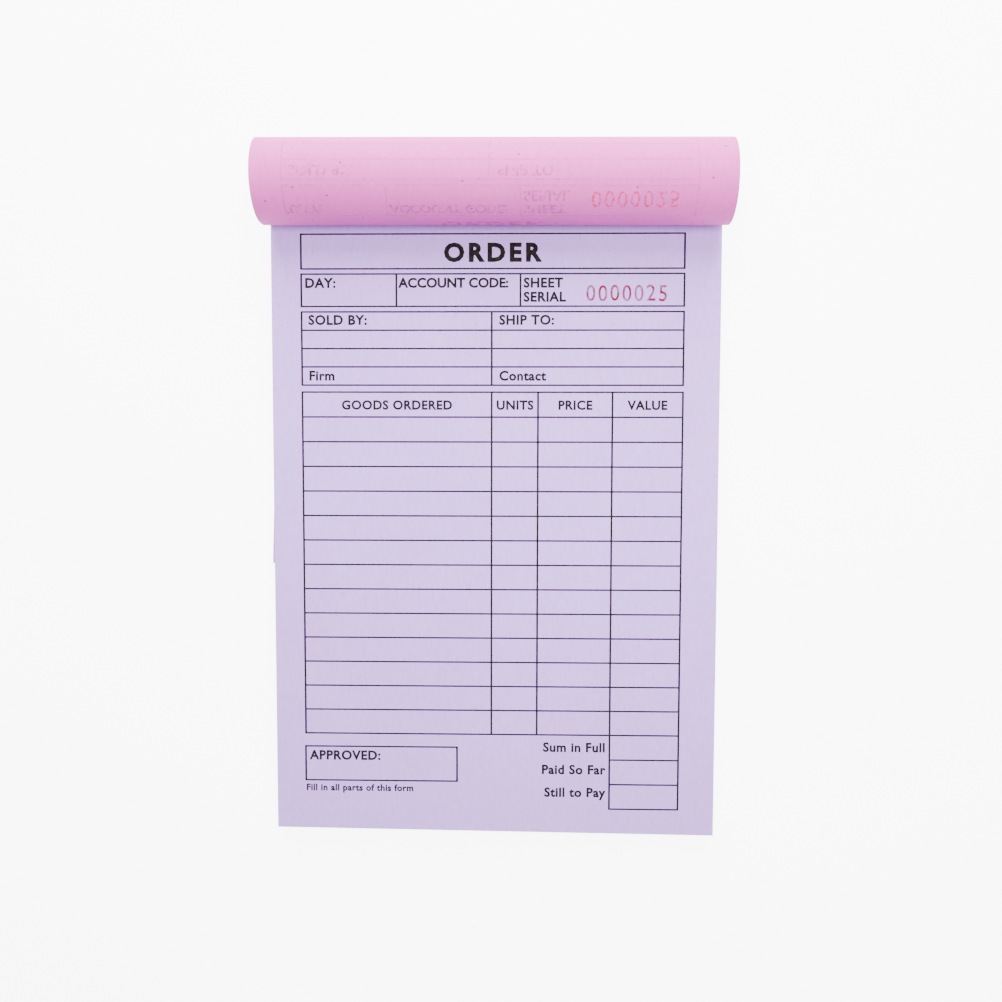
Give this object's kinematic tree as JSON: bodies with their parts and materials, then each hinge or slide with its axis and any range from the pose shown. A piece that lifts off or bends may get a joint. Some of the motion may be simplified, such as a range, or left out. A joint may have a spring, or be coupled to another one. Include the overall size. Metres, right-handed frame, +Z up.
{
  "type": "purchase order book",
  "caption": "Top-bound pad of carbonless two-part order forms: ruled lavender page on top, used leaves turned over the bound edge in a pink roll and tucked under the pad.",
  "frame": {"origin": "on the table under the middle of the page, on the underside of the turned leaves' tails", "axes": "+X to the page's right, +Y towards the bound edge, +Z up out of the page"},
  "size_m": [0.1476, 0.2228, 0.0334],
  "materials": {
    "lavender_paper": "matte",
    "pink_paper": "matte",
    "cover_card": "matte",
    "grey_board": "matte",
    "spine_cloth": "matte",
    "padding_glue": "matte",
    "staple_steel": "satin"
  },
  "bodies": {
    "turned_tails": {"front_cover_tail": "cover_card", "leaf_01_pink_tail": "pink_paper", "leaf_01_lavender_tail": "lavender_paper", "leaf_02_pink_tail": "pink_paper", "leaf_02_lavender_tail": "lavender_paper", "leaf_03_pink_tail": "pink_paper", "leaf_03_lavender_tail": "lavender_paper", "leaf_04_pink_tail": "pink_paper"},
    "pad": {"back_board": "grey_board", "spine_tape": "spine_cloth", "spine_glue": "padding_glue", "staple_left": "staple_steel", "staple_right": "staple_steel", "leaf_05_pink": "pink_paper", "leaf_05_lavender": "lavender_paper", "leaf_06_pink": "pink_paper", "leaf_06_lavender": "lavender_paper", "leaf_07_pink": "pink_paper", "leaf_07_lavender": "lavender_paper", "leaf_08_pink": "pink_paper", "leaf_08_lavender": "lavender_paper", "leaf_09_pink": "pink_paper", "leaf_09_lavender": "lavender_paper", "leaf_10_pink": "pink_paper", "leaf_10_lavender": "lavender_paper", "leaf_11_pink": "pink_paper", "leaf_11_lavender": "lavender_paper", "leaf_12_pink": "pink_paper", "leaf_12_lavender": "lavender_paper", "leaf_13_pink": "pink_paper", "leaf_13_lavender": "lavender_paper", "leaf_14_pink": "pink_paper", "leaf_14_lavender": "lavender_paper", "leaf_15_pink": "pink_paper", "leaf_15_lavender": "lavender_paper", "leaf_16_pink": "pink_paper", "leaf_16_lavender": "lavender_paper", "leaf_17_pink": "pink_paper", "leaf_17_lavender": "lavender_paper", "leaf_18_pink": "pink_paper", "leaf_18_lavender": "lavender_paper", "leaf_19_pink": "pink_paper", "leaf_19_lavender": "lavender_paper", "leaf_20_pink": "pink_paper", "leaf_20_lavender": "lavender_paper", "leaf_04_lavender_stub": "lavender_paper", "front_cover_roll": "cover_card", "leaf_01_pink_roll": "pink_paper", "leaf_01_lavender_roll": "lavender_paper", "leaf_02_pink_roll": "pink_paper", "leaf_02_lavender_roll": "lavender_paper", "leaf_03_pink_roll": "pink_paper", "leaf_03_lavender_roll": "lavender_paper", "leaf_04_pink_roll": "pink_paper"},
    "page_upper": {"leaf_04_lavender_upper": "lavender_paper"},
    "page_lower": {"leaf_04_lavender_lower": "lavender_paper"}
  },
  "joints": [
    {"name": "pad_lift", "type": "hinge", "parent": "turned_tails", "child": "pad", "pos_m": [0, 0.10741, 0], "axis": [-1, 0, 0], "range_deg": [0, 30]},
    {"name": "page_lift", "type": "hinge", "parent": "pad", "child": "page_upper", "pos_m": [0, 0.0945, 0.00791], "axis": [-1, 0, 0], "range_deg": [0, 50]},
    {"name": "page_bend", "type": "hinge", "parent": "page_upper", "child": "page_lower", "pos_m": [0, 0.0495, 0.00791], "axis": [-1, 0, 0], "range_deg": [0, 120]}
  ]
}
